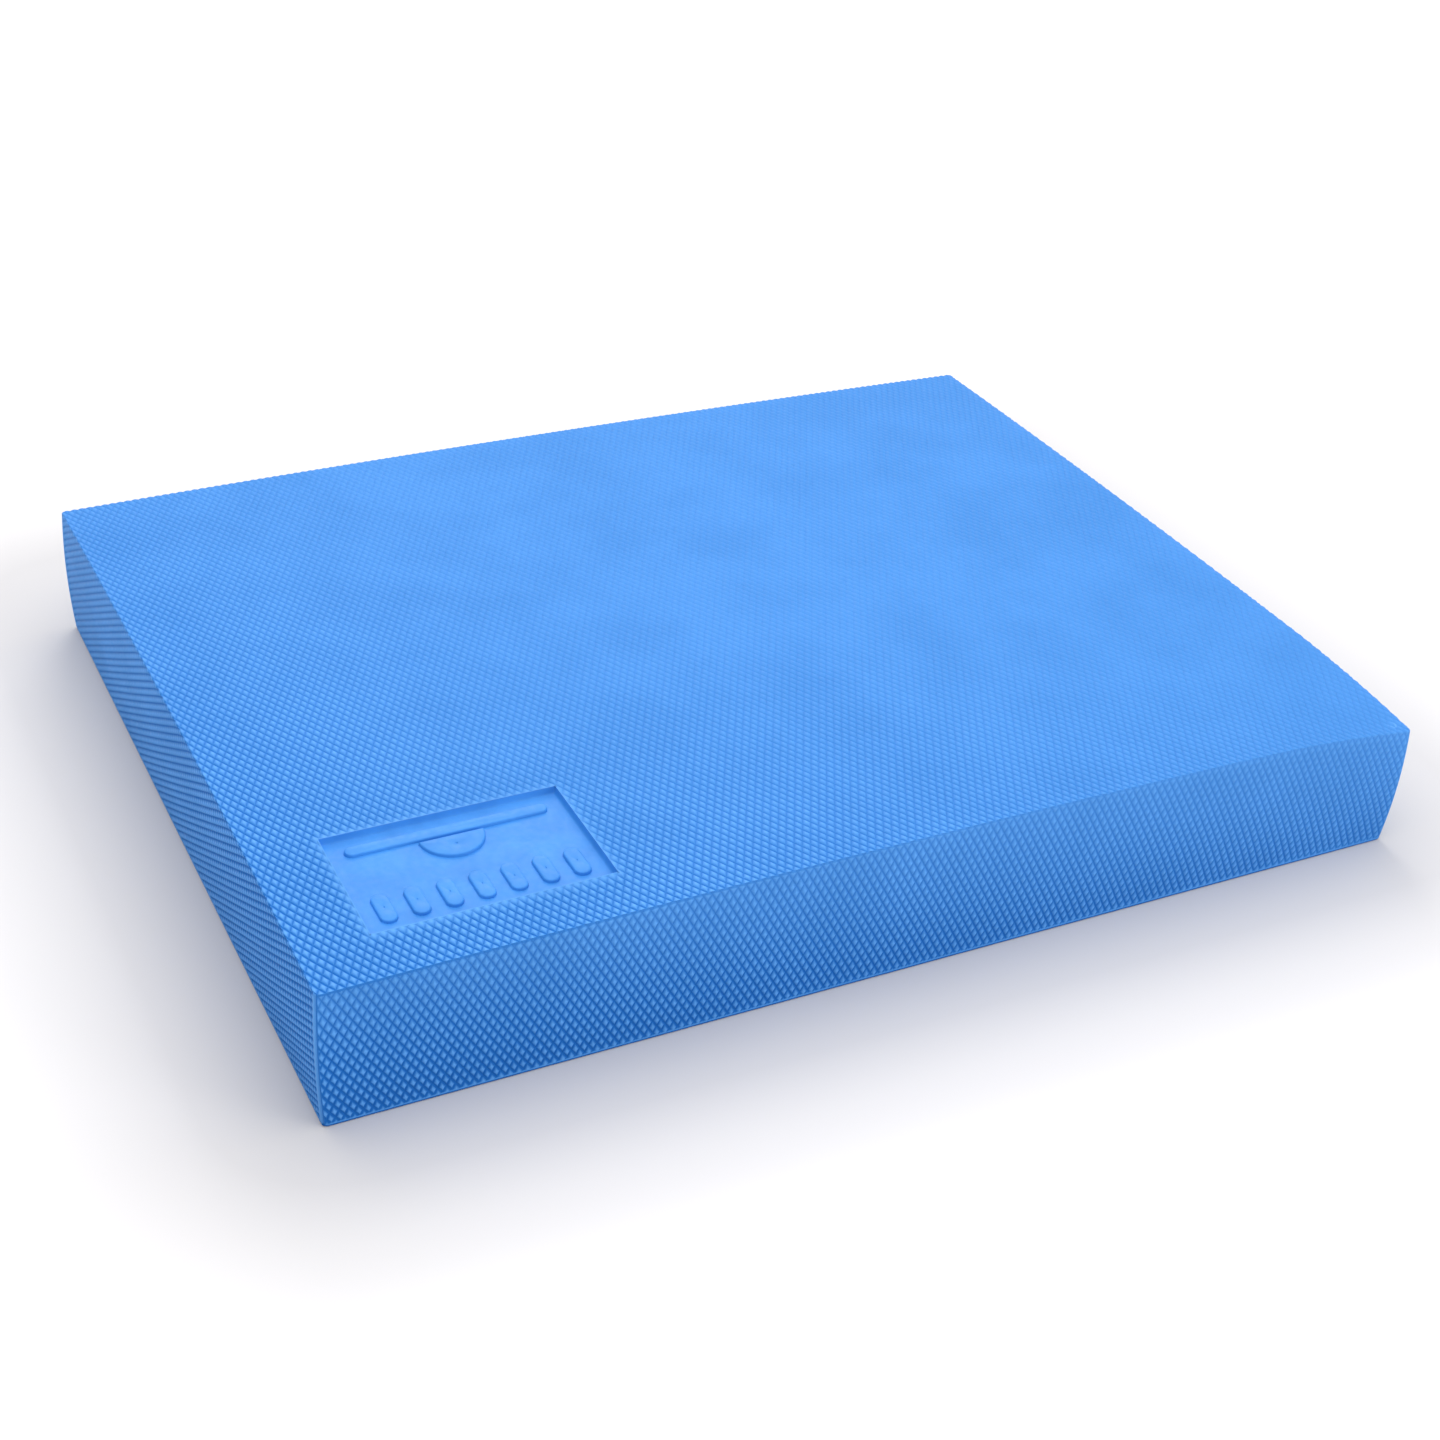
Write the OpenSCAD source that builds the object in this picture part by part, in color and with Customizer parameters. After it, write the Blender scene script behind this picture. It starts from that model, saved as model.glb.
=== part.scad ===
// Balance pad: one block of closed-cell foam, moulded with a denser outer skin on all
// six faces and a smooth recessed badge panel near one corner of its top.
// Origin: centre of the face it rests on. +X runs along the long side, +Y away from the
// side nearest the badge, +Z up. Millimetres.

/* [Block] */
// Length of the top face along X, from corner to corner
top_l = 480; // [400:1:520]
// Width of the top face along Y, from corner to corner
top_w = 380; // [320:1:420]
// Height of the four top corners above the floor
corner_h = 61; // [40:1:80]
// Rise of the top face from its corners to its middle
crown = 2.5; // [0:0.1:6]
// How much each side leans inward from the top edge down to the bottom edge
draft = 1; // [0:0.1:5]
// How far each side swells outward between its edges
belly = 1.2; // [0:0.1:3]
// How much each top edge is drawn in at its middle
waist = 0.4; // [0:0.1:4]
// Radius of the four upright corners
corner_r = 2; // [1:0.5:12]

/* [Skin] */
// Thickness of the dense outer layer
skin_t = 4; // [3:0.5:6]

/* [Badge] */
// Length of the badge window along X
badge_l = 95; // [70:1:120]
// Width of the badge window along Y
badge_w = 60; // [45:1:80]
// Distance from the left end of the block to the window
badge_from_left = 28; // [15:1:60]
// Distance from the front of the block to the window
badge_from_front = 24; // [15:1:60]
// Depth of the panel below the top face
recess = 2.7; // [1:0.1:3]
// Height of the raised emblem above the panel
emblem_h = 1.2; // [0.5:0.1:1.5]

/* [Emblem] */
// Length of the beam at the top of the emblem
beam_l = 74; // [40:1:80]
// Thickness of the beam
beam_t = 6; // [3:0.5:8]
// Radius of the half disc under the beam
rocker_r = 13; // [8:0.5:16]
// Number of upright bars in the row under the half disc
bar_count = 7; // [5:1:11]
// Width of one bar
bar_w = 7; // [3:0.5:9]
// Height of one bar
bar_h = 17; // [8:0.5:20]

/* [Hidden] */

foam_blue = "#64a8f5";
skin_blue = "#4b92e8";
badge_blue = "#5ba2f2";

half_l = top_l/2;
half_w = top_w/2;
badge_x = [badge_from_left - half_l, badge_from_left + badge_l - half_l];
badge_y = [badge_from_front - half_w, badge_from_front + badge_w - half_w];

// A level is [FLOOR, distance above it], [TOP, distance below it] or [SHARE, share of the
// height].
FLOOR = 0;
TOP = 1;
SHARE = 2;
floor_inner = [FLOOR, skin_t];
top_inner = [TOP, skin_t];
top_face = [TOP, 0];
panel_face = [TOP, recess];
emblem_face = [TOP, recess - emblem_h];
wall_levels = [floor_inner, [SHARE, 0.25], [SHARE, 0.5], [SHARE, 0.75], top_inner];

// How far a cutting shape runs past the faces that it cuts
through = 1;

// Grid lines: fine round the upright corners and even between them.
corner_steps = 3;
spans_l = 10;
spans_w = 8;

function near_end(half) = [for (i = [0:corner_steps]) half - corner_r*i/corner_steps];
function inner_lines(half, spans) = let (edge = half - corner_r)
    [for (i = [1:spans - 1]) edge*(2*i/spans - 1)];
function mirrored(v) = concat(v, -v);
lines_x = concat(mirrored(near_end(half_l)), mirrored([half_l - skin_t]),
                 inner_lines(half_l, spans_l), badge_x);
lines_y = concat(mirrored(near_end(half_w)), mirrored([half_w - skin_t]),
                 inner_lines(half_w, spans_w), badge_y);

// The grid lines that lie in a range, in order and without repeats.
function above(v, low, high) = [for (a = v) if (a > low + 0.001 && a <= high + 0.001) a];
function ordered(v, low, high) = let (left = above(v, low, high))
    len(left) == 0 ? [low] : concat([low], ordered(v, min(left), high));

// Squares near an upright corner are drawn onto a quarter circle of radius corner_r.
function round_corner(x, y) = let (
        dx = abs(x) - (half_l - corner_r),
        dy = abs(y) - (half_w - corner_r))
    dx <= 0 || dy <= 0 ? [x, y] : let (k = max(dx, dy)/norm([dx, dy]))
    [sign(x)*(half_l - corner_r + dx*k), sign(y)*(half_w - corner_r + dy*k)];

// The top sags from its middle to its corners, and stays highest along both centre lines.
function top_z(x, y) = corner_h + crown*(1 - pow(x*y/(half_l*half_w), 2));
function height(x, y, level) = level[0] == FLOOR ? level[1]
    : level[0] == TOP ? top_z(x, y) - level[1]
    : top_z(x, y)*level[1];

// Place of a point of the square-edged block on the real one, with draft, belly and waist.
function place(x, y, level) = let (
        z = height(x, y, level),
        up = z/corner_h,
        lean = draft*(1 - up) - belly*4*up*(1 - up),
        in_l = waist*up*(1 - pow(y/half_w, 2)),
        in_w = waist*up*(1 - pow(x/half_l, 2)),
        p = round_corner(x, y))
    [p[0]*(1 - (lean + in_l)/half_l), p[1]*(1 - (lean + in_w)/half_w), z];

// A region of the block between two pairs of grid positions, with a layer of points at
// each of its levels, from the lowest to the highest.
module region(range_x, range_y, levels) {
    xs = ordered(lines_x, range_x[0], range_x[1]);
    ys = ordered(lines_y, range_y[0], range_y[1]);
    nx = len(xs);
    ny = len(ys);
    top = len(levels) - 1;
    points = [for (level = levels) for (y = ys) for (x = xs) place(x, y, level)];
    function id(layer, j, i) = (layer*ny + j)*nx + i;
    floor_quads = [for (j = [0:ny - 2]) for (i = [0:nx - 2])
        [id(0, j, i), id(0, j, i + 1), id(0, j + 1, i + 1), id(0, j + 1, i)]];
    top_quads = [for (j = [0:ny - 2]) for (i = [0:nx - 2])
        [id(top, j, i), id(top, j + 1, i), id(top, j + 1, i + 1), id(top, j, i + 1)]];
    front_quads = [for (k = [0:top - 1]) for (i = [0:nx - 2])
        [id(k, 0, i), id(k + 1, 0, i), id(k + 1, 0, i + 1), id(k, 0, i + 1)]];
    back_quads = [for (k = [0:top - 1]) for (i = [0:nx - 2])
        [id(k, ny - 1, i), id(k, ny - 1, i + 1),
         id(k + 1, ny - 1, i + 1), id(k + 1, ny - 1, i)]];
    left_quads = [for (k = [0:top - 1]) for (j = [0:ny - 2])
        [id(k, j, 0), id(k, j + 1, 0), id(k + 1, j + 1, 0), id(k + 1, j, 0)]];
    right_quads = [for (k = [0:top - 1]) for (j = [0:ny - 2])
        [id(k, j, nx - 1), id(k + 1, j, nx - 1),
         id(k + 1, j + 1, nx - 1), id(k, j + 1, nx - 1)]];
    quads = concat(floor_quads, top_quads, front_quads, back_quads, left_quads, right_quads);
    // Every quad is split along the diagonal from its first corner, so that the faces of
    // two neighbouring regions match.
    triangles = [for (q = quads) each [[q[0], q[1], q[2]], [q[0], q[2], q[3]]]];
    polyhedron(points, triangles);
}

full_x = [-half_l, half_l];
full_y = [-half_w, half_w];
inner_x = [skin_t - half_l, half_l - skin_t];
inner_y = [skin_t - half_w, half_w - skin_t];

// Light inner foam, which carries the load
module foam_core() color(foam_blue)
    region(inner_x, inner_y, wall_levels);

// Dense face that the user stands on, with the badge window cut through it
module top_skin() color(skin_blue) difference() {
    region(full_x, full_y, [top_inner, top_face]);
    region(badge_x, badge_y, [[TOP, skin_t + through], [TOP, -through]]);
}

// Dense face that rests on the floor, cut flat below
module bottom_skin() color(skin_blue) intersection() {
    region(full_x, full_y, [[FLOOR, -through], [FLOOR, 0], floor_inner]);
    translate([-half_l, -half_w, 0]) cube([top_l, top_w, skin_t + through]);
}

module front_skin() color(skin_blue)
    region(full_x, [-half_w, skin_t - half_w], wall_levels);

module back_skin() color(skin_blue)
    region(full_x, [half_w - skin_t, half_w], wall_levels);

module left_skin() color(skin_blue)
    region([-half_l, skin_t - half_l], inner_y, wall_levels);

module right_skin() color(skin_blue)
    region([half_l - skin_t, half_l], inner_y, wall_levels);

// Smooth panel that fills the lower part of the badge window
module badge_panel() color(badge_blue)
    region(badge_x, badge_y, [top_inner, panel_face]);

// A beam balanced on a half disc, over a row of round-ended bars
module emblem_outline() {
    gap = (badge_w - beam_t - rocker_r - bar_h)/4;
    beam_y = badge_w/2 - gap - beam_t/2;
    rocker_y = beam_y - beam_t/2 - 1;
    bars_y = gap + bar_h/2 - badge_w/2;
    pitch = beam_l/(bar_count - 1);
    pill([-beam_l/2, beam_y], [beam_l/2, beam_y], beam_t);
    translate([0, rocker_y]) intersection() {
        circle(r = rocker_r, $fn = 48);
        translate([-rocker_r, -rocker_r]) square([2*rocker_r, rocker_r]);
    }
    for (i = [0:bar_count - 1]) {
        x = pitch*(i - (bar_count - 1)/2);
        reach = (bar_h - bar_w)/2;
        pill([x, bars_y - reach], [x, bars_y + reach], bar_w);
    }
}

module pill(from, to, width) hull() {
    translate(from) circle(d = width, $fn = 24);
    translate(to) circle(d = width, $fn = 24);
}

// Raised emblem on the panel
module badge_emblem() color(badge_blue) intersection() {
    region(badge_x, badge_y, [panel_face, emblem_face]);
    translate([(badge_x[0] + badge_x[1])/2, (badge_y[0] + badge_y[1])/2])
        linear_extrude(2*corner_h) emblem_outline();
}

foam_core();
top_skin();
bottom_skin();
front_skin();
back_skin();
left_skin();
right_skin();
badge_panel();
badge_emblem();
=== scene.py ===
"""A foam balance pad: its diamond tread, smooth edges and badge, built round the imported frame.

The pad is laid out as a plain box in millimetres. Each face is a closed slab whose surface is
real relief, and mould_shape() then bends all of them to the pad's true form. Lengths in the
script are millimetres until they become mesh points.
"""
import math

import bmesh
import bpy
import numpy as np
from mathutils import Matrix, Vector


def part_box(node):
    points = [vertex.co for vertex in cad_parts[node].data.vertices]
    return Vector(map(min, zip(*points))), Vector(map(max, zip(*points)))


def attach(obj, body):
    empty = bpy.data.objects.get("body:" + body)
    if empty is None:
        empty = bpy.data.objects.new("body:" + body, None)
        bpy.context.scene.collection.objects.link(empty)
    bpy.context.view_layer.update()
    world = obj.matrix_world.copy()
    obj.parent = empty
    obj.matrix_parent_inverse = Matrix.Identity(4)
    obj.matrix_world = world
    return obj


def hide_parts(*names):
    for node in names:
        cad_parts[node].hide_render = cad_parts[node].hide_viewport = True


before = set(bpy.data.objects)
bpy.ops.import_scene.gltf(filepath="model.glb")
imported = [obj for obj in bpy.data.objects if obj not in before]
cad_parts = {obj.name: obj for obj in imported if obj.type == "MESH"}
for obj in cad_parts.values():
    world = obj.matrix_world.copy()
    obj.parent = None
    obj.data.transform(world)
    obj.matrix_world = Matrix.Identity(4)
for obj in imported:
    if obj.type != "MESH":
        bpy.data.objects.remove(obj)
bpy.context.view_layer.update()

MM = 0.001

# The block, as in the CAD model
HALF_L = 240
HALF_W = 190
CORNER_H = 61
CROWN = 2.5
DRAFT = 1
BELLY = 1.2
WAIST = 0.4
CORNER_R = 2
SKIN = 4
RECESS = 2.7
EMBLEM_H = 1.2

# The top's front right corner has settled a little
DROOP = 4.3
DROOP_REACH = 80

# Radius of the long edges, above and below, and where the tread is cut so that it bends round the
# upper one, as shares of that radius
TOP_EDGE_R = 0.8
FLOOR_EDGE_R = 0.7
EDGE_CUTS = (0.35, 1, 2)

# Slabs meet in a mitre: their points are drawn in over this width beside an edge
EDGE_FADE = 3.0

# The tread: rhombic pads between straight grooves. A flank share is the part of a pad that slopes
# to the groove at each side of it, for the falling and the rising grooves. The corners of a pad's
# top lie up to PAD_JITTER deep.
GROOVE_DEPTH = 0.8
FLANK_SHARES = (0.37, 0.35)
PAD_JITTER = 0.04

# How much of the grooves' depth is left right at an edge, and how far in they have all of it
EDGE_RELIEF = 0.5
EDGE_RELIEF_REACH = 5

# Faint waves in the faces: their height, how long they are along p, q and both, and how far from
# an edge they have all of it
WAVE_H = 0.12
WAVE_P = 31
WAVE_Q = 23
WAVE_BOTH = 47
WAVE_REACH = 20

# Painted shade: the grooves and pads are coloured darkest at the front left corner, and this falls
# off over the reach below. The distance from the corner and the distance from its two sides count
# towards that by these weights.
SHADE_REACH = 315
CORNER_WEIGHT = 0.5
SIDES_WEIGHT = 0.8
SHADE_POWER = 1.5

# Depth of the painted shade at the foot of a face whose grooves are paler at its top
FOOT_SHADE = 1.2

# Share of the grooves' painted shade right at the badge window, and the distance in which the share
# rises by 1
WINDOW_SHADE = 0.3
WINDOW_SHADE_RISE = 4

# Height of the painted contact shadow along the floor, width of the painted shade line along the
# sides' edges, and the share of that line's depth far from the front left corner
CONTACT_SHADOW_H = 0.7
EDGE_SHADE_W = 1.1
EDGE_SHADE_FAR = 0.25

# Smooth bands that the tread stops at, how deep they lie, and where they have rows of points
FRONT_BAND = 1.2
END_BAND = 2.8
RIM_BAND = 1.6
WINDOW_LIP = 0.5
BAND_DEPTH = 0.08
BAND_STEPS = (0.3, 0.6, 0.8, 1)
LIP_STEPS = (0.4, 1)

# Wall of the badge window: distances from its side and heights above the panel
PANEL_WALL = ((0, 2.4), (0.2, 1.7), (0.45, 0.7), (0.7, 0.2), (1.1, 0))

# A raised shape of the emblem: how far its outline is drawn in at heights above the panel
RAISED_PROFILE = ((0, -0.3), (0.05, 0), (0.2, 0.75), (0.3, 0.95), (0.5, 1.1), (0.9, 1.2))

# The vent dimple in the top of such a shape: radii and depths
VENT_PROFILE = ((0.75, 0), (0.45, 0.12), (0.3, 0.35))

# How near two lengths are that count as the same, and how near its full depth a groove's bed is
SAME = 1e-3
BED_SLACK = 0.02

SEED = 11


# ---------------------------------------------------------------- the pad's shape

def mould_shape(points):
    """Points of the plain box, in mm, moved to the moulded block's form, in metres."""
    half = np.array([HALF_L, HALF_W, CORNER_H / 2])
    centre = np.array([0, 0, CORNER_H / 2])
    up = np.clip(points[:, 2] / CORNER_H, 0, 1)
    radius = (FLOOR_EDGE_R + (TOP_EDGE_R - FLOOR_EDGE_R) * up)[:, None]
    core = np.clip(points - centre, radius - half, half - radius)
    out = points - centre - core
    reach = np.abs(out).max(axis=1)
    length = np.maximum(np.linalg.norm(out, axis=1), 1e-9)
    x, y, z = (core + out * (reach / length)[:, None] + centre).T

    dx = np.abs(x) - (HALF_L - CORNER_R)
    dy = np.abs(y) - (HALF_W - CORNER_R)
    near = (dx > 0) & (dy > 0)
    pull = np.where(near, np.maximum(dx, dy) / np.maximum(np.hypot(dx, dy), 1e-9), 1)
    plan_x = np.where(near, np.sign(x) * (HALF_L - CORNER_R + dx * pull), x)
    plan_y = np.where(near, np.sign(y) * (HALF_W - CORNER_R + dy * pull), y)

    rise = CROWN * (1 - (x * y / (HALF_L * HALF_W)) ** 2)
    gap = np.hypot(x - HALF_L, y + HALF_W)
    rise -= DROOP * np.clip(1 - gap / DROOP_REACH, 0, 1) ** 2
    z = z * (1 + rise / CORNER_H)
    up = z / CORNER_H
    lean = DRAFT * (1 - up) - BELLY * 4 * up * (1 - up)
    in_l = WAIST * up * (1 - (y / HALF_W) ** 2)
    in_w = WAIST * up * (1 - (x / HALF_L) ** 2)
    moved = [plan_x * (1 - (lean + in_l) / HALF_L), plan_y * (1 - (lean + in_w) / HALF_W), z]
    return np.stack(moved, axis=1) * MM


def drawn_in(p, half, depth):
    """A position across a face, moved off its edge as much as it lies deep, so slabs mitre."""
    share = np.clip((np.abs(p) - half + EDGE_FADE) / EDGE_FADE, 0, 1)
    return p - np.sign(p) * depth * share


class Face:
    """One face of the box: across (p), along (q) and outward are unit axes."""

    def __init__(self, across, along):
        self.across = np.array(across, float)
        self.along = np.array(along, float)
        self.outward = np.cross(self.across, self.along)
        half = np.array([HALF_L, HALF_W, CORNER_H / 2])
        self.half_p = float(abs(self.across) @ half)
        self.half_q = float(abs(self.along) @ half)
        self.half_n = float(abs(self.outward) @ half)

    def to_box(self, p, q, depth):
        """Box points for places on the face and depths under it."""
        return (
            np.outer(p, self.across)
            + np.outer(q, self.along)
            + np.outer(self.half_n - depth, self.outward)
            + np.array([0, 0, CORNER_H / 2])
        )


# ---------------------------------------------------------------- tread slabs

class Tread:
    """How a face's tread is laid out and how deep its painted shade is.

    pitch is a pad's size across and along the face. The rows rise by arch to their middle, and
    the columns close in by taper per millimetre below the face's top. grooves and pads are depths
    of painted shade, each far from the front left corner and at it. rising is the rising grooves'
    share of the falling ones' depth, top is the share of both that is left at the face's top, and
    line is the depth of the painted shade line along the top and the ends of the face.
    """

    def __init__(self, pitch, grooves, pads=(0, 0), arch=0, taper=0, rising=1, top=1, line=0):
        self.pitch = pitch
        self.grooves = grooves
        self.pads = pads
        self.arch = arch
        self.taper = taper
        self.rising = rising
        self.top = top
        self.line = line


TOP_TREAD = Tread((3.52, 6.55), grooves=(0.04, 0.86), pads=(0.27, 0), rising=0.76)
UNDER_TREAD = Tread((3.52, 6.55), grooves=(0.3, 0.9), pads=(0.15, 0.15))
SIDE_TREAD = Tread(
    (3.52, 6),
    grooves=(0.36, 0.93),
    pads=(0.14, 0.06),
    arch=2.3,
    taper=0.0002,
    rising=0.95,
    top=0.5,
    line=0.6,
)
END_TREAD = Tread((6.25, 3.3), grooves=(0.3, 0.95), line=0.25)


def pad_lattice(half_p, half_q, tread, rng):
    """Points (p, q, depth) and quads of whole pads that cover a rectangle."""
    dp, dq = tread.pitch
    spare = 5
    reach = int(half_p / dp + half_q / dq) + spare
    i, j = np.meshgrid(np.arange(-reach, reach), np.arange(-reach, reach), indexing="ij")
    i, j = i.ravel(), j.ravel()
    mid_p, mid_q = dp * (i + j + 1) / 2, dq * (i - j) / 2
    kept = (np.abs(mid_p) < half_p + 2 * dp) & (np.abs(mid_q) < half_q + 2 * dq)
    i, j = i[kept], j[kept]

    def place(a, b):
        return np.stack([dp * (a + b) / 2, dq * (a - b) / 2], axis=1)

    turns = [(0, 0), (0, 1), (1, 1), (1, 0)]
    stride = 4 * reach
    keys = np.stack([(i + a + reach) * stride + (j + b + reach) for a, b in turns], axis=1)
    unique, node = np.unique(keys, return_inverse=True)
    node = node.reshape(keys.shape)
    nodes = place(unique // stride - reach, unique % stride - reach)
    g, h = FLANK_SHARES
    inner = [place(i + g + (1 - 2 * g) * a, j + h + (1 - 2 * h) * b) for a, b in turns]
    first = len(nodes)
    count = len(i)
    tilt = rng.uniform(0, PAD_JITTER, (count, 4))
    points = [np.column_stack([nodes, np.full(first, GROOVE_DEPTH)])]
    points += [np.column_stack([inner[k], tilt[:, k]]) for k in range(4)]
    top = np.stack([first + k * count + np.arange(count) for k in range(4)], axis=1)
    quads = [top]
    for k in range(4):
        n = (k + 1) % 4
        quads.append(np.stack([node[:, k], node[:, n], top[:, n], top[:, k]], axis=1))
    points = np.concatenate(points)
    p, q = points[:, 0].copy(), points[:, 1].copy()
    points[:, 0] = p * (1 - tread.taper * (half_q - q))
    points[:, 1] = q + tread.arch * (1 - (p / half_p) ** 2)
    return points, np.concatenate(quads)


def cut(bm, axis, at, keep_below=None, reach=None):
    """Cuts the mesh at one coordinate of an axis.

    keep_below says what stays: the part below the cut (True), the part above it (False) or both
    (None). reach tests whether a face is near enough to be cut; without it, all of them are.
    """
    normal = [0, 0, 0]
    normal[axis] = -1 if keep_below is False else 1
    point = [0, 0, 0]
    point[axis] = at
    faces = [f for f in bm.faces if reach is None or reach(f)]
    edges = dict.fromkeys(e for f in faces for e in f.edges)
    verts = dict.fromkeys(v for f in faces for v in f.verts)
    bmesh.ops.bisect_plane(
        bm,
        geom=faces + list(edges) + list(verts),
        dist=1e-4,
        plane_co=point,
        plane_no=normal,
        clear_outer=keep_below is not None,
    )


def open_window(bm, window):
    """Removes the tread inside the badge window, and runs a smooth lip round it."""
    (p0, p1), (q0, q1) = window
    lip = WINDOW_LIP
    margin = max(TOP_TREAD.pitch) + lip
    sides = [(0, p0 - lip, p0), (0, p1 + lip, p1), (1, q0 - lip, q0), (1, q1 + lip, q1)]

    def near(f):
        c = f.calc_center_bounds()
        return p0 - margin < c.x < p1 + margin and q0 - margin < c.y < q1 + margin

    for axis, start, _ in sides:
        cut(bm, axis, start, reach=near)
    inside = []
    for f in bm.faces:
        c = f.calc_center_median()
        if p0 - lip < c.x < p1 + lip and q0 - lip < c.y < q1 + lip:
            inside.append(f)
    bmesh.ops.delete(bm, geom=inside, context="FACES")
    add_band(bm, sides, LIP_STEPS)


def add_band(bm, sides, steps):
    """Runs the surface on from the tread's cut sides to the face's edges, smooth and level.

    sides is a list of (axis, from, to); steps are shares of the way.
    """
    def side_of(v):
        return [s for s in sides if abs(v.co[s[0]] - s[1]) < SAME]

    def on_side(e):
        first, second = (side_of(v) for v in e.verts)
        return any(s in second for s in first)

    edges = [e for e in bm.edges if e.is_boundary and on_side(e)]
    home = {v: side_of(v) for e in edges for v in e.verts}
    for share in steps:
        made = bmesh.ops.extrude_edge_only(bm, edges=edges)["geom"]
        new_verts = [g for g in made if isinstance(g, bmesh.types.BMVert)]
        new_edges = [g for g in made if isinstance(g, bmesh.types.BMEdge)]
        moved = {}
        for v in new_verts:
            old = next(e.other_vert(v) for e in v.link_edges if e.other_vert(v) in home)
            for axis, start, end in home[old]:
                v.co[axis] = start + (end - start) * share
            v.co.z = BAND_DEPTH
            moved[v] = home[old]
        edges = [e for e in new_edges if e.verts[0] in moved and e.verts[1] in moved]
        home = moved


def close_slab(bm, face):
    """Gives the sheet its thickness: mitred walls at its sides, and a flat back.

    Returns the vertices of the back.
    """
    rim = [e for e in bm.edges if e.is_boundary]
    for e in rim:
        e.smooth = False
    surface = set(bm.verts)
    made = bmesh.ops.extrude_edge_only(bm, edges=rim)["geom"]
    new_verts = [g for g in made if isinstance(g, bmesh.types.BMVert)]
    base = [g for g in made if isinstance(g, bmesh.types.BMEdge)]
    base = [e for e in base if e.verts[0] not in surface and e.verts[1] not in surface]
    for v in new_verts:
        on_edge = max(abs(v.co.x) - face.half_p, abs(v.co.y) - face.half_q) > -SAME
        if on_edge:
            v.co.x *= (face.half_p - SKIN) / face.half_p
            v.co.y *= (face.half_q - SKIN) / face.half_q
        v.co.z = SKIN
    for e in base:
        e.smooth = False
    bmesh.ops.triangle_fill(bm, edges=base, use_beauty=False)
    return new_verts


def nearness(box_points):
    """How near places on the block are to its front left corner, from 0 to 1."""
    from_corner = box_points - np.array([-HALF_L, -HALF_W, CORNER_H / 2])
    from_edges = np.maximum(from_corner[:, :2].min(axis=1), 0)
    gap = CORNER_WEIGHT * np.linalg.norm(from_corner, axis=1) + SIDES_WEIGHT * from_edges
    return np.clip(1 - gap / SHADE_REACH, 0, 1) ** SHADE_POWER


def shade(share, box_points, tread):
    """Depth of painted shade in the grooves and on the pads at places on the block.

    share is how far down its groove each place lies.
    """
    near = nearness(box_points)
    low = np.clip(1 - box_points[:, 2] / CORNER_H, 0, 1)
    grooves = share * (tread.grooves[0] + (tread.grooves[1] - tread.grooves[0]) * near)
    # Painted shade: the grooves are darker towards the foot of the face
    if tread.top < 1:
        grooves *= tread.top + (FOOT_SHADE - tread.top) * low
    pads = tread.pads[0] + (tread.pads[1] - tread.pads[0]) * near
    return grooves, pads


def edge_shade(p, q, box_points, face, tread):
    """Depth of the painted shade line inside a face's top and ends, where the edge's crease is
    shaded.
    """
    gap = np.minimum(face.half_q - q, face.half_p - np.abs(p))
    depth = tread.line * (EDGE_SHADE_FAR + (1 - EDGE_SHADE_FAR) * nearness(box_points))
    return np.where(gap < EDGE_SHADE_W, depth, 0)


def face_shares(sheet, rising):
    """The share of the groove's painted shade that each corner of each face gets. The rising
    grooves get a smaller share, a painted shade of light from one side.

    A flank's own slope tells which grooves it belongs to.
    """
    level = 1e-3
    slope = np.zeros(len(sheet.polygons) * 3)
    sheet.polygons.foreach_get("normal", slope)
    x, y, _ = slope.reshape(-1, 3).T
    corners = np.zeros(len(sheet.polygons), int)
    sheet.polygons.foreach_get("loop_total", corners)
    return np.repeat(np.where(x * y < -level, rising, 1), corners)


def cut_to_face(bm, face, tread, bands):
    """Cuts the lattice to the face less its bands, and lets it bend round edges without a band.

    Returns the sides that a band runs on from, each as (axis, from, to).
    """
    sides = []
    limits = (
        (0, -face.half_p, 1),
        (0, face.half_p, -1),
        (1, -face.half_q, 1),
        (1, face.half_q, -1),
    )
    for (axis, edge, inward), band in zip(limits, bands):
        stop = edge + inward * band
        cut(bm, axis, stop, keep_below=inward < 0)
        if band:
            sides.append((axis, stop, edge))
            continue
        for share in EDGE_CUTS:
            line = edge + inward * TOP_EDGE_R * share

            def near(f, axis=axis, line=line):
                return abs(f.calc_center_bounds()[axis] - line) < max(tread.pitch)

            cut(bm, axis, line, reach=near)
    return sides


def tread_sheet(name, face, tread, bands, rng, window):
    """A closed slab of tread as a mesh of (p, q, depth), and which of its vertices are its back."""
    points, quads = pad_lattice(face.half_p, face.half_q, tread, rng)
    sheet = bpy.data.meshes.new(name)
    sheet.from_pydata(points.tolist(), [], quads.tolist())
    bm = bmesh.new()
    bm.from_mesh(sheet)
    sides = cut_to_face(bm, face, tread, bands)
    if window:
        open_window(bm, window)
    if sides:
        add_band(bm, sides, BAND_STEPS)
    back = close_slab(bm, face)
    bmesh.ops.recalc_face_normals(bm, faces=bm.faces)
    for e in bm.edges:
        if all(abs(v.co.z - GROOVE_DEPTH) < BED_SLACK for v in e.verts):
            e.smooth = False
    bm.verts.index_update()
    is_back = np.zeros(len(bm.verts), bool)
    is_back[[v.index for v in back]] = True
    for f in bm.faces:
        f.smooth = True
    bm.to_mesh(sheet)
    bm.free()
    return sheet, is_back


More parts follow.
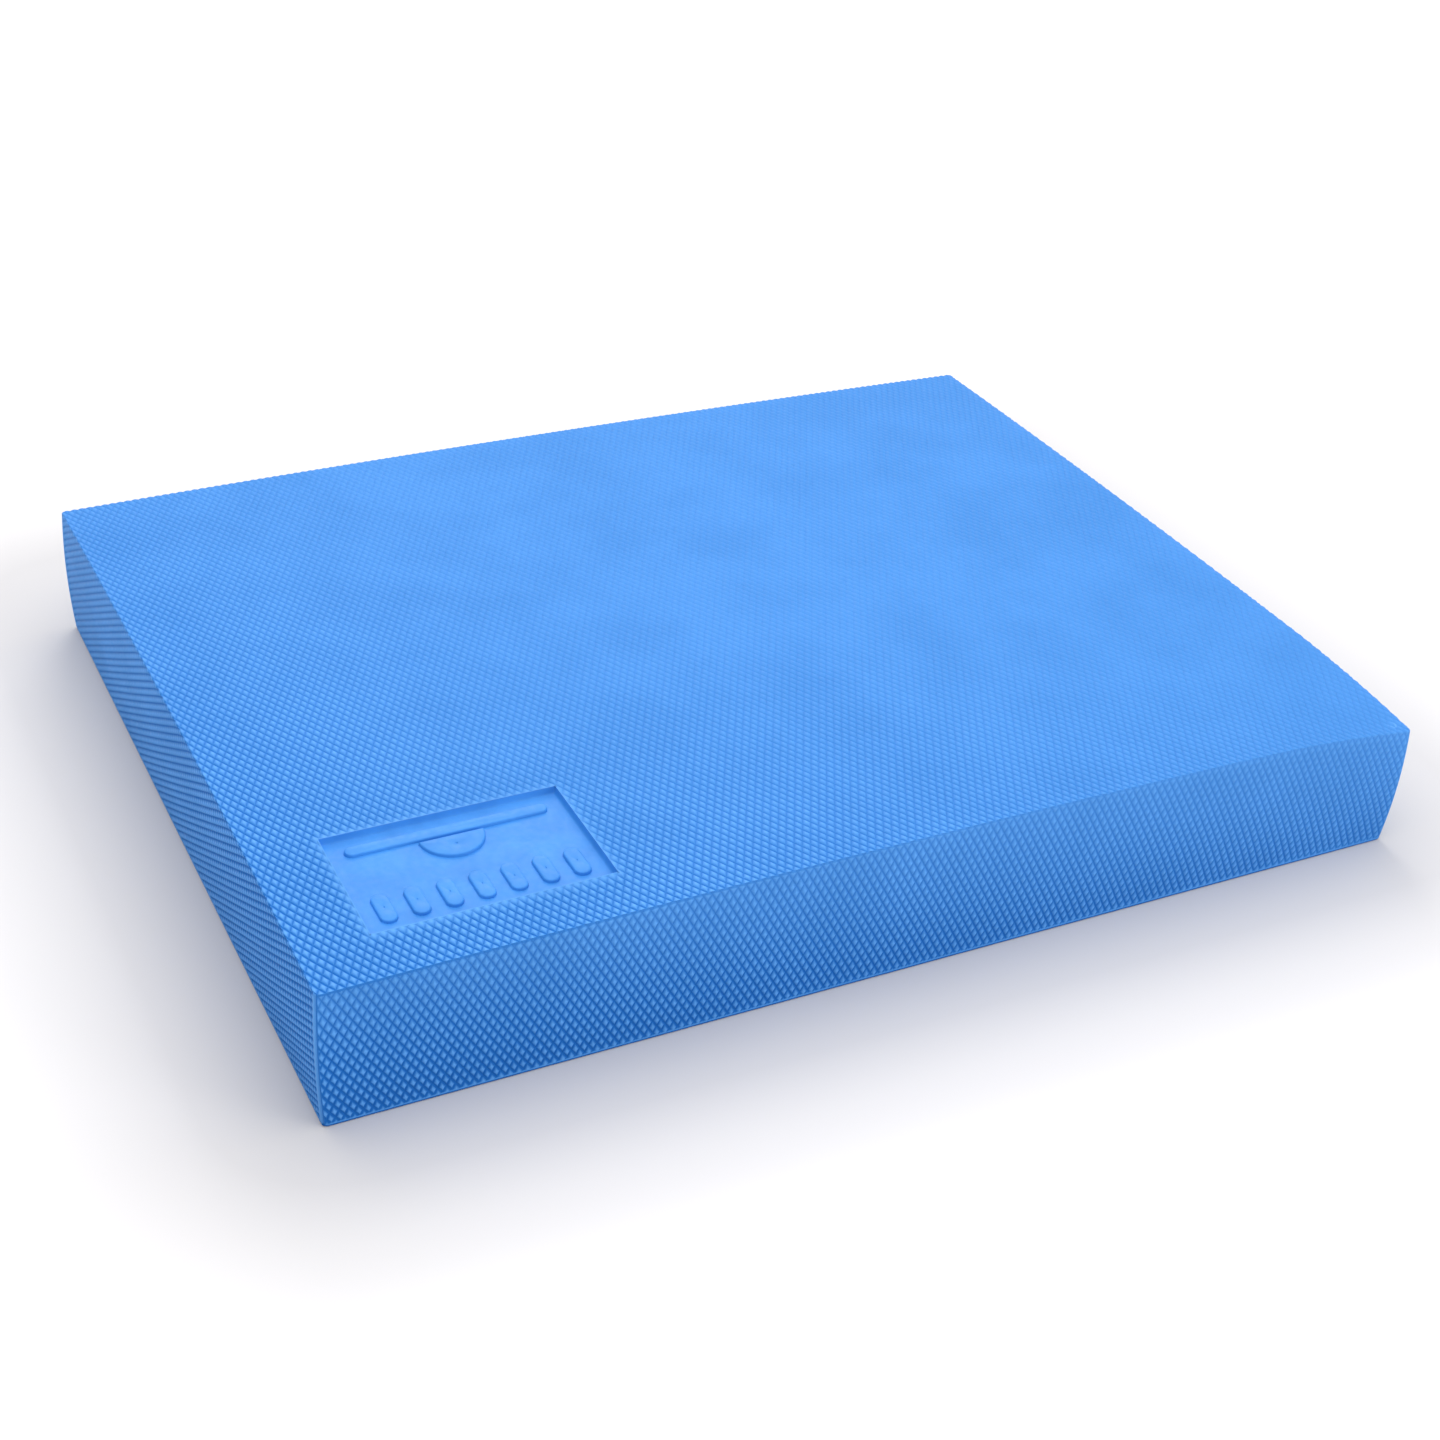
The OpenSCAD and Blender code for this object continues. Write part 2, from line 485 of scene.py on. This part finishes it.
def shade_depths(sheet, places, face, tread, window):
    """Depth of painted shade at each corner of each face of the sheet. places are its p, q and
    depth.
    """
    p, q, depth = places
    box_points = face.to_box(p, q, depth)
    grooves, pads = shade(np.clip(depth / GROOVE_DEPTH, 0, 1), box_points, tread)
    # Less painted shade in the grooves near the badge window
    if window:
        grooves *= np.clip(WINDOW_SHADE + window_gap(p, q, window) / WINDOW_SHADE_RISE, 0, 1)
    lines = edge_shade(p, q, box_points, face, tread)
    corners = np.zeros(len(sheet.loops), int)
    sheet.loops.foreach_get("vertex_index", corners)
    found = grooves[corners] * face_shares(sheet, tread.rising) + pads[corners]
    found = np.maximum(found, lines[corners])
    # Painted contact shadow: full shade at the foot of every face, where it meets the floor
    found[box_points[corners, 2] < CONTACT_SHADOW_H] = 1
    return found


def settled_depth(places, is_back, face, seed, window):
    """Depths with a relief that fades towards the edges, and with faint waves further in."""
    p, q, depth = places
    edge_gap = np.minimum(face.half_p - np.abs(p), face.half_q - np.abs(q))
    calm = np.clip(edge_gap / WAVE_REACH, 0, 1) * ~is_back
    cut_gap = edge_gap
    if window:
        calm *= np.clip(window_gap(p, q, window) / WAVE_REACH, 0, 1)
        cut_gap = np.minimum(edge_gap, window_gap(p, q, window))
    relief = EDGE_RELIEF + (1 - EDGE_RELIEF) * np.clip(cut_gap / EDGE_RELIEF_REACH, 0, 1)
    wave = np.sin(p / WAVE_P + seed) * np.sin(q / WAVE_Q + 2 * seed) + np.sin((p + q) / WAVE_BOTH)
    return np.where(is_back, depth, depth * relief) + WAVE_H * (1 + wave / 2) * calm


def tread_slab(name, face, tread, bands, seed, window=None):
    """One face of the pad as a closed slab with real tread relief.

    bands holds the width of the smooth band at each side: low p, high p, low q, high q.
    """
    sheet, is_back = tread_sheet(name, face, tread, bands, np.random.default_rng(seed), window)
    co = np.zeros(len(sheet.vertices) * 3)
    sheet.vertices.foreach_get("co", co)
    places = co.reshape(-1, 3).T
    groove = shade_depths(sheet, places, face, tread, window)
    depth = settled_depth(places, is_back, face, seed, window)
    p, q, _ = places
    p = np.where(is_back, p, drawn_in(p, face.half_p, depth))
    q = np.where(is_back, q, drawn_in(q, face.half_q, depth))
    sheet.vertices.foreach_set("co", mould_shape(face.to_box(p, q, depth)).ravel())
    # The painted shade goes into the groove attribute, which the tread's material reads
    store = sheet.attributes.new("groove", "FLOAT", "CORNER")
    store.data.foreach_set("value", groove.astype(np.float32))
    sheet.validate()
    sheet.update()
    return add_object(name, sheet)


def window_gap(p, q, window):
    """How far each place lies outside the window."""
    (p0, p1), (q0, q1) = window
    gap_p = np.maximum(np.maximum(p0 - p, p - p1), 0)
    gap_q = np.maximum(np.maximum(q0 - q, q - q1), 0)
    return np.hypot(gap_p, gap_q)


def add_object(name, mesh):
    obj = bpy.data.objects.new(name, mesh)
    bpy.context.scene.collection.objects.link(obj)
    return obj


# ---------------------------------------------------------------- badge

def badge_panel(name, window):
    """The smooth floor of the window, with the leaning walls round it."""
    (p0, p1), (q0, q1) = window
    ends = [step for step, _ in PANEL_WALL]

    def lines(low, high, count):
        middle = list(np.linspace(low + ends[-1], high - ends[-1], count)[1:-1])
        return np.array([low + e for e in ends] + middle + [high - e for e in reversed(ends)])

    xs, ys = lines(p0, p1, 26), lines(q0, q1, 18)
    x, y = np.meshgrid(xs, ys)
    gap = np.minimum(np.minimum(x - p0, p1 - x), np.minimum(y - q0, q1 - y))
    rise = np.interp(gap, ends, [height for _, height in PANEL_WALL])
    wave_h, wave_x, wave_y, wave_reach = 0.1, 9, 13, 6
    swell = wave_h * np.sin(x / wave_x) * np.sin(y / wave_y + 1) * np.clip(gap / wave_reach, 0, 1)
    z = CORNER_H - RECESS + rise + swell
    bm = bmesh.new()
    rows = [[bm.verts.new(co) for co in row] for row in np.stack([x, y, z], axis=2)]
    for j in range(len(ys) - 1):
        for i in range(len(xs) - 1):
            bm.faces.new((rows[j][i], rows[j][i + 1], rows[j + 1][i + 1], rows[j + 1][i]))
    rim = [e for e in bm.edges if e.is_boundary]
    made = bmesh.ops.extrude_edge_only(bm, edges=rim)["geom"]
    low_verts = [g for g in made if isinstance(g, bmesh.types.BMVert)]
    for v in low_verts:
        v.co.z = CORNER_H - SKIN
    below = set(low_verts)
    base = [e for e in bm.edges if e.verts[0] in below and e.verts[1] in below]
    bmesh.ops.triangle_fill(bm, edges=base, use_beauty=False)
    bmesh.ops.recalc_face_normals(bm, faces=bm.faces)
    for e in rim + base:
        e.smooth = False
    return finish_mesh(name, bm)


def stadium(half_length, radius, upright, count):
    """Outline of a bar with round ends, as a function of how far in it is drawn."""
    turn = np.linspace(0, 2 * math.pi, count, endpoint=False)

    def outline(inset):
        r = radius - inset
        ends = np.where(np.cos(turn) >= 0, 1, -1)
        x = r * np.cos(turn) + half_length * ends
        y = r * np.sin(turn)
        return np.stack([-y, x] if upright else [x, y], axis=1)

    return outline


def half_disc(radius, count):
    """Outline of the lower half of a disc, its flat side up."""
    def outline(inset):
        arc = np.linspace(math.pi, 2 * math.pi, count * 2 // 3)
        r = radius - inset
        low = np.stack([r * np.cos(arc), np.minimum(r * np.sin(arc), -inset)], axis=1)
        flat = np.linspace(r, -r, count - len(arc) + 2)[1:-1]
        return np.concatenate([low, np.stack([flat, np.full(len(flat), -inset)], axis=1)])

    return outline


def raised_shape(bm, outline, at, pip):
    """One raised shape of the emblem: drafted sides, a rounded top edge and a small vent dimple.

    at is where the outline's own origin lies, and pip is the dimple's place from there.
    """
    floor = CORNER_H - RECESS
    last_inset, full_height = RAISED_PROFILE[-1]
    rings = []
    for inset, height in RAISED_PROFILE:
        z = floor + height * EMBLEM_H / full_height
        rings.append([bm.verts.new((x + at[0], y + at[1], z)) for x, y in outline(inset)])
    centre = np.array(at) + np.array(pip)
    count = len(rings[0])
    shape = outline(last_inset) + np.array(at) - centre
    angle = np.arctan2(shape[:, 1], shape[:, 0])
    for radius, sink in VENT_PROFILE:
        x = centre[0] + radius * np.cos(angle)
        y = centre[1] + radius * np.sin(angle)
        z = np.full(count, floor + EMBLEM_H - sink)
        rings.append([bm.verts.new(co) for co in np.stack([x, y, z], axis=1)])
    for low, high in zip(rings, rings[1:]):
        for k in range(count):
            n = (k + 1) % count
            bm.faces.new((low[k], low[n], high[n], high[k]))
    bm.faces.new(rings[-1])
    bm.faces.new(list(reversed(rings[0])))


def badge_emblem(name, box_low, box_high):
    """A beam balanced on a half disc, over a row of upright bars."""
    beam_t, bar_w, bar_h, rocker_r, bar_count = 6, 7, 17, 13, 7
    mid_x = (box_low.x + box_high.x) / 2 / MM
    low_y, high_y = box_low.y / MM, box_high.y / MM
    beam_l = (box_high.x - box_low.x) / MM - beam_t
    beam_y = high_y - beam_t / 2
    bm = bmesh.new()
    raised_shape(bm, stadium(beam_l / 2, beam_t / 2, False, 48), (mid_x, beam_y), (0, 0))
    rocker_y = beam_y - beam_t / 2 - 1
    raised_shape(bm, half_disc(rocker_r, 60), (mid_x, rocker_y), (0, -rocker_r * 0.45))
    for i in range(bar_count):
        x = mid_x + beam_l / (bar_count - 1) * (i - (bar_count - 1) / 2)
        bar = stadium((bar_h - bar_w) / 2, bar_w / 2, True, 40)
        raised_shape(bm, bar, (x, low_y + bar_h / 2), (0, 0))
    bmesh.ops.recalc_face_normals(bm, faces=bm.faces)
    return finish_mesh(name, bm)


def finish_mesh(name, bm):
    """Bends a box-space mesh to the block's form and makes it an object."""
    mesh = bpy.data.meshes.new(name)
    for f in bm.faces:
        f.smooth = True
    bm.to_mesh(mesh)
    bm.free()
    co = np.zeros(len(mesh.vertices) * 3)
    mesh.vertices.foreach_get("co", co)
    mesh.vertices.foreach_set("co", mould_shape(co.reshape(-1, 3)).ravel())
    mesh.update()
    return add_object(name, mesh)


# ---------------------------------------------------------------- materials

SKY_BLUE = (0.1, 0.335, 0.78)
MID_BLUE = (0.086, 0.3, 0.71)
PANEL_BLUE = (0.042, 0.25, 0.7)
PANEL_SHADE = (0.034, 0.215, 0.63)
# Colour of the painted shade in the tread's grooves
GROOVE_SHADE_BLUE = (0.014, 0.13, 0.46)

# How fine the patterns are, per metre: clouds of colour on the tread and on the badge, flecks,
# the skin's grain, and the core's cells
TREAD_CLOUD_SCALE = 22
BADGE_CLOUD_SCALE = 70
FLECK_SCALE = 420
GRAIN_SCALE = 2600
CELL_SCALE = 900


def link(tree, source, output, target, socket):
    tree.links.new(source.outputs[output], target.inputs[socket])


def noise(tree, coords, scale, detail):
    node = tree.nodes.new("ShaderNodeTexNoise")
    node.inputs["Scale"].default_value = scale
    node.inputs["Detail"].default_value = detail
    link(tree, coords, "Object", node, "Vector")
    return node


def ramp(tree, source, output, given, wanted):
    """A node that maps the range given, as (low, high), onto the range wanted."""
    node = tree.nodes.new("ShaderNodeMapRange")
    node.inputs["From Min"].default_value, node.inputs["From Max"].default_value = given
    node.inputs["To Min"].default_value, node.inputs["To Max"].default_value = wanted
    link(tree, source, output, node, "Value")
    return node


def colour_output(node):
    return next(s for s in node.outputs if s.type == "RGBA")


def blend_colour(tree, factor, output, a, b):
    """A mix of two colours; a and b are colours or nodes with a colour output."""
    node = tree.nodes.new("ShaderNodeMix")
    node.data_type = "RGBA"
    link(tree, factor, output, node, "Factor")
    for socket, value in (("A", a), ("B", b)):
        target = next(s for s in node.inputs if s.name == socket and s.type == "RGBA")
        if isinstance(value, tuple):
            target.default_value = (*value, 1)
        else:
            tree.links.new(colour_output(value), target)
    return node


def new_material(name):
    """An empty material, with its node tree, its shader and its object coordinates."""
    material = bpy.data.materials.new(name)
    material.use_nodes = True
    tree = material.node_tree
    coords = tree.nodes.new("ShaderNodeTexCoord")
    return material, tree, tree.nodes["Principled BSDF"], coords


def add_bump(tree, source, output, shader, strength, distance):
    bump = tree.nodes.new("ShaderNodeBump")
    bump.inputs["Strength"].default_value = strength
    bump.inputs["Distance"].default_value = distance
    link(tree, source, output, bump, "Height")
    link(tree, bump, "Normal", shader, "Normal")


def foam_material(name, light, mid, deep, rough, grain, clouds, tread):
    """Moulded foam: cloudy colour, painted shade in the grooves, fine grain and a satin skin."""
    material, tree, shader, coords = new_material(name)
    cloud = noise(tree, coords, clouds, 3)
    fine = noise(tree, coords, FLECK_SCALE, 2)
    cloud_share = ramp(tree, cloud, "Fac", (0.35, 0.65), (0, 1))
    colour = blend_colour(tree, cloud_share, "Result", light, mid)
    fleck = ramp(tree, fine, "Fac", (0.45, 0.75), (0, 0.22))
    colour = blend_colour(tree, fleck, "Result", colour, mid)
    if tread:
        # Painted shade: the groove attribute darkens the colour towards the shade colour
        groove = tree.nodes.new("ShaderNodeAttribute")
        groove.attribute_name = "groove"
        painted_shade = ramp(tree, groove, "Fac", (0.05, 0.7), (0, 1))
        colour = blend_colour(tree, painted_shade, "Result", colour, deep)
        gloss = ramp(tree, groove, "Fac", (0, 0.5), (0.2, 0.03))
        link(tree, gloss, "Result", shader, "Specular IOR Level")
    else:
        shader.inputs["Specular IOR Level"].default_value = 0.3
    tree.links.new(colour_output(colour), shader.inputs["Base Color"])

    satin = ramp(tree, fine, "Fac", (0.3, 0.7), (rough - 0.05, rough + 0.07))
    link(tree, satin, "Result", shader, "Roughness")
    shader.inputs["IOR"].default_value = 1.42
    add_bump(tree, noise(tree, coords, GRAIN_SCALE, 2), "Fac", shader, grain, 0.0001)
    return material


def core_material(name, light, deep):
    """The cut cell structure of the inner foam."""
    material, tree, shader, coords = new_material(name)
    cells = tree.nodes.new("ShaderNodeTexVoronoi")
    cells.inputs["Scale"].default_value = CELL_SCALE
    link(tree, coords, "Object", cells, "Vector")
    wall = ramp(tree, cells, "Distance", (0.1, 0.6), (0, 1))
    colour = blend_colour(tree, wall, "Result", light, deep)
    tree.links.new(colour_output(colour), shader.inputs["Base Color"])
    shader.inputs["Roughness"].default_value = 0.85
    add_bump(tree, cells, "Distance", shader, 0.6, 0.0003)
    return material


# ---------------------------------------------------------------- scene

def add_camera():
    """The camera stands low at the front left, nearest the badge's corner."""
    data = bpy.data.cameras.new("camera")
    data.sensor_width = 36
    data.lens = 57.21
    camera = bpy.data.objects.new("camera", data)
    bpy.context.scene.collection.objects.link(camera)
    place = Vector((-0.4088, -0.781, 0.5594))
    aim = Vector((-0.0108, -0.0392, 0.030))
    level = (aim - place).to_track_quat("-Z", "Y").to_matrix().to_4x4()
    roll = Matrix.Rotation(math.radians(3.8), 4, "Z")
    camera.matrix_world = Matrix.Translation(place) @ level @ roll
    data.clip_start = 0.01
    data.clip_end = 50
    bpy.context.scene.camera = camera


def add_area_light(name, place, aim, size, power, colour):
    data = bpy.data.lights.new(name, "AREA")
    data.shape = "RECTANGLE"
    data.size, data.size_y = size
    data.energy = power
    data.color = colour
    lamp = bpy.data.objects.new(name, data)
    bpy.context.scene.collection.objects.link(lamp)
    lamp.location = place
    lamp.rotation_euler = (Vector(aim) - Vector(place)).to_track_quat("-Z", "Y").to_euler()


def floor_glow(tree, coords):
    """Light that the floor gives off, from nothing round the pad, so that its shadow shows."""
    glow_mid = (0.012, 0.02, 0)
    here = coords.outputs["Object"]
    steps = (
        ("SUBTRACT", glow_mid),
        ("ABSOLUTE", None),
        ("SUBTRACT", (HALF_L * MM, HALF_W * MM, 0)),
        ("MAXIMUM", (0, 0, 0)),
    )
    for operation, operand in steps:
        node = tree.nodes.new("ShaderNodeVectorMath")
        node.operation = operation
        tree.links.new(here, node.inputs[0])
        if operand:
            node.inputs[1].default_value = operand
        here = node.outputs["Vector"]
    gap = tree.nodes.new("ShaderNodeVectorMath")
    gap.operation = "LENGTH"
    tree.links.new(here, gap.inputs[0])
    return ramp(tree, gap, "Value", (0.05, 0.2), (0, 0.51))


def add_floor():
    """A large pale floor, which glows as painted light away from the pad."""
    size = 12
    corners = [(-size, -size, 0), (size, -size, 0), (size, size, 0), (-size, size, 0)]
    mesh = bpy.data.meshes.new("studio_floor")
    mesh.from_pydata(corners, [], [(0, 1, 2, 3)])
    floor = add_object("studio_floor", mesh)
    material, tree, shader, coords = new_material("studio_floor")
    shader.inputs["Base Color"].default_value = (0.61, 0.6, 0.61, 1)
    shader.inputs["Roughness"].default_value = 0.9
    shader.inputs["Emission Color"].default_value = (1, 1, 1, 1)
    link(tree, floor_glow(tree, coords), "Result", shader, "Emission Strength")
    mesh.materials.append(material)


def add_lights():
    """An even white sky, a softbox above, a key light behind and a fill at the front right."""
    world = bpy.data.worlds.new("studio")
    bpy.context.scene.world = world
    world.use_nodes = True
    sky = world.node_tree.nodes["Background"]
    sky.inputs["Color"].default_value = (1, 1, 1, 1)
    sky.inputs["Strength"].default_value = 0.76
    add_area_light("softbox", (-0.05, 0, 1), (0, 0, 0), (1.4, 1.1), 9, (1, 0.99, 0.98))
    add_area_light("back_key", (0.45, 1.4, 1), (0, 0, 0), (0.8, 0.6), 7.5, (1, 0.99, 0.98))
    add_area_light("side_fill", (0.9, -1.3, 0.35), (0.1, -0.19, 0.03), (0.6, 0.4), 6, (1, 1, 1))
    bpy.context.scene.view_settings.view_transform = "Standard"


def add_treads(window):
    """A slab of tread for each of the six faces, in place of the skin's CAD nodes."""
    upright = (0, 0, 1)
    long_bands = (FRONT_BAND, FRONT_BAND, RIM_BAND, 0)
    end_bands = (END_BAND, END_BAND, RIM_BAND, 0)
    faces = {
        "top": (Face((1, 0, 0), (0, 1, 0)), TOP_TREAD, (0, 0, 0, 0)),
        "bottom": (Face((-1, 0, 0), (0, 1, 0)), UNDER_TREAD, (RIM_BAND,) * 4),
        "front": (Face((1, 0, 0), upright), SIDE_TREAD, long_bands),
        "back": (Face((-1, 0, 0), upright), SIDE_TREAD, long_bands),
        "left": (Face((0, -1, 0), upright), END_TREAD, end_bands),
        "right": (Face((0, 1, 0), upright), END_TREAD, end_bands),
    }
    tread_foam = foam_material(
        "tread_foam", SKY_BLUE, MID_BLUE, GROOVE_SHADE_BLUE,
        rough=0.5, grain=0.25, clouds=TREAD_CLOUD_SCALE, tread=True,
    )
    for k, (side, layout) in enumerate(faces.items()):
        slab = tread_slab(f"{side}_tread", *layout, SEED + k, window if side == "top" else None)
        slab.data.materials.append(tread_foam)
        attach(slab, "root")
        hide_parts(f"{side}_skin")


def add_badge(window):
    """The badge's panel and emblem, in place of their CAD nodes."""
    smooth_foam = foam_material(
        "smooth_foam", PANEL_BLUE, PANEL_SHADE, GROOVE_SHADE_BLUE,
        rough=0.46, grain=0.15, clouds=BADGE_CLOUD_SCALE, tread=False,
    )
    panel = badge_panel("badge_floor", window)
    emblem = badge_emblem("badge_relief", *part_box("badge_emblem"))
    for piece, node in ((panel, "badge_panel"), (emblem, "badge_emblem")):
        piece.data.materials.append(smooth_foam)
        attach(piece, "root")
        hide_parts(node)


def dress_core():
    """Gives the foam core, which keeps its CAD node, the look of cut foam."""
    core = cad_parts["foam_core"]
    core_foam = core_material("core_foam", SKY_BLUE, MID_BLUE)
    if core.material_slots:
        core.material_slots[0].material = core_foam
    else:
        core.data.materials.append(core_foam)


def main():
    add_camera()
    add_floor()
    add_lights()

    panel_low, panel_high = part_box("badge_panel")
    window = ((panel_low.x / MM, panel_high.x / MM), (panel_low.y / MM, panel_high.y / MM))
    add_treads(window)
    add_badge(window)
    dress_core()


main()
